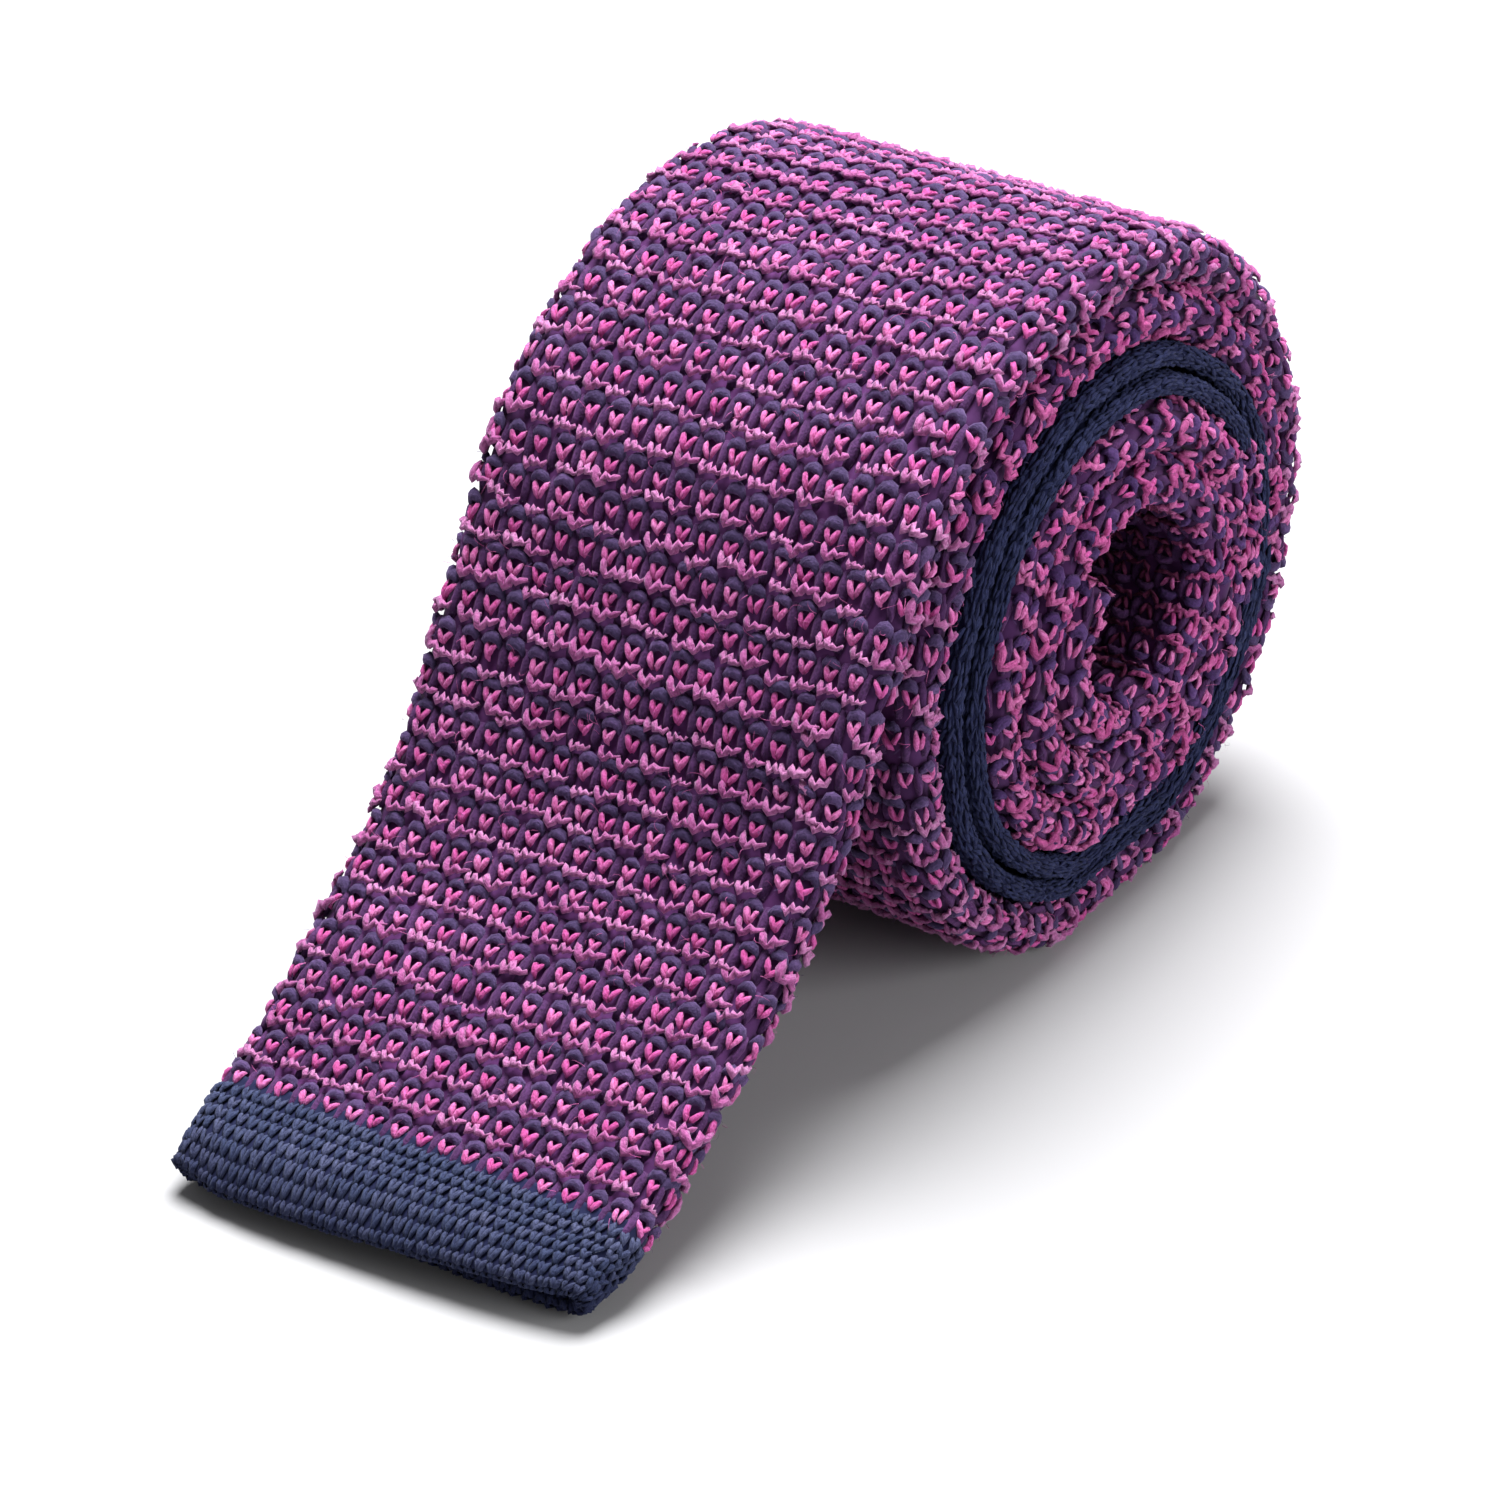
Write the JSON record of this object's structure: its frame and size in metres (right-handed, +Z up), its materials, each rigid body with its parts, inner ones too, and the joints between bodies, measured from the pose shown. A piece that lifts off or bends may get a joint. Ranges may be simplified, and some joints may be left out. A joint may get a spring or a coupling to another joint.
{
  "type": "knit tie",
  "caption": "Square-ended knit tie with a plain end band, rolled up on itself with its front blade let down to the surface.",
  "frame": {"origin": "middle of the part's underside, on the surface that it rests on", "axes": "+X along the roll's axis and across the tie's width, +Y from the let-down tip to the roll, +Z up"},
  "size_m": [0.0594, 0.1382, 0.0781],
  "materials": {
    "patterned_knit": "chunky textured knit in dark violet with small pink V stitches and mauve loops between them",
    "band_knit": "plain navy band of small, plump stitches",
    "neck_knit": "plain, thin, dark navy stocking stitch"
  },
  "bodies": {
    "root": {"end_band": "band_knit", "front_blade": "patterned_knit", "neck_section": "neck_knit", "tail_blade": "patterned_knit"}
  },
  "joints": []
}
